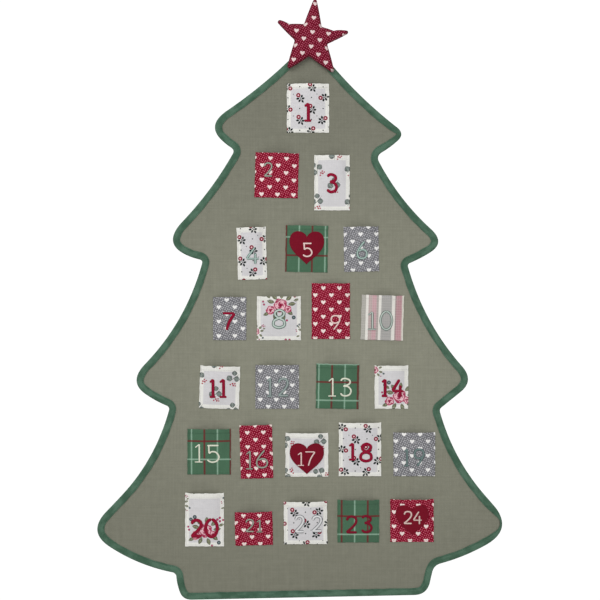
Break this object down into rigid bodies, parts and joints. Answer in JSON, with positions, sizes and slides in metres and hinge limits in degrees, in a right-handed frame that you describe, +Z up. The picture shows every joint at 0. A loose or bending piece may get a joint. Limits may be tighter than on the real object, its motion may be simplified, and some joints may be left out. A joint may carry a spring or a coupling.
{
  "type": "tree advent calendar",
  "caption": "Flat fabric Christmas tree wall hanging with bound edge, stuffed star, hanging loop and sewn pockets numbered for the days before Christmas.",
  "frame": {"origin": "inside of the hanging loop's crown, on the wall plane, where a nail or hook carries the tree", "axes": "+Z up along the tree's height, +X to the right seen from the front, +Y into the wall, so the front faces -Y"},
  "size_m": [0.7087, 0.0221, 1.0468],
  "materials": {
    "sage_linen": "matte",
    "white_felt": "matte",
    "backing_cotton": "matte",
    "green_binding_tape": "matte",
    "green_loop_tape": "matte",
    "star_cotton": "matte",
    "polyester_filling": "matte",
    "print_sprig_cotton": "matte",
    "print_red_hearts_cotton": "matte",
    "print_leaf_cotton": "matte",
    "plaid_cotton": "matte",
    "print_grey_hearts_cotton": "matte",
    "print_rose_cotton": "matte",
    "striped_cotton": "matte",
    "dark_red_cotton": "matte",
    "embroidery_thread": "satin",
    "sewing_thread": "matte"
  },
  "bodies": {
    "root": {"front_panel": "sage_linen", "interlining": "white_felt", "backing_panel": "backing_cotton", "edge_binding": "green_binding_tape", "trunk_binding": "green_binding_tape", "hanging_loop": "green_loop_tape", "star_front": "star_cotton", "star_back": "star_cotton", "star_filling": "polyester_filling", "pocket_01": "print_sprig_cotton", "pocket_02": "print_red_hearts_cotton", "pocket_03": "print_leaf_cotton", "pocket_04": "print_sprig_cotton", "pocket_05": "plaid_cotton", "pocket_06": "print_grey_hearts_cotton", "pocket_07": "print_grey_hearts_cotton", "pocket_08": "print_rose_cotton", "pocket_09": "print_red_hearts_cotton", "pocket_10": "striped_cotton", "pocket_11": "print_leaf_cotton", "pocket_12": "print_grey_hearts_cotton", "pocket_13": "plaid_cotton", "pocket_14": "print_rose_cotton", "pocket_15": "plaid_cotton", "pocket_16": "print_red_hearts_cotton", "pocket_17": "print_leaf_cotton", "pocket_18": "print_sprig_cotton", "pocket_19": "print_grey_hearts_cotton", "pocket_20": "print_rose_cotton", "pocket_21": "print_red_hearts_cotton", "pocket_22": "print_sprig_cotton", "pocket_23": "plaid_cotton", "pocket_24": "print_red_hearts_cotton", "heart_patch_05": "dark_red_cotton", "heart_patch_17": "dark_red_cotton", "heart_patch_24": "dark_red_cotton"}
  },
  "joints": []
}
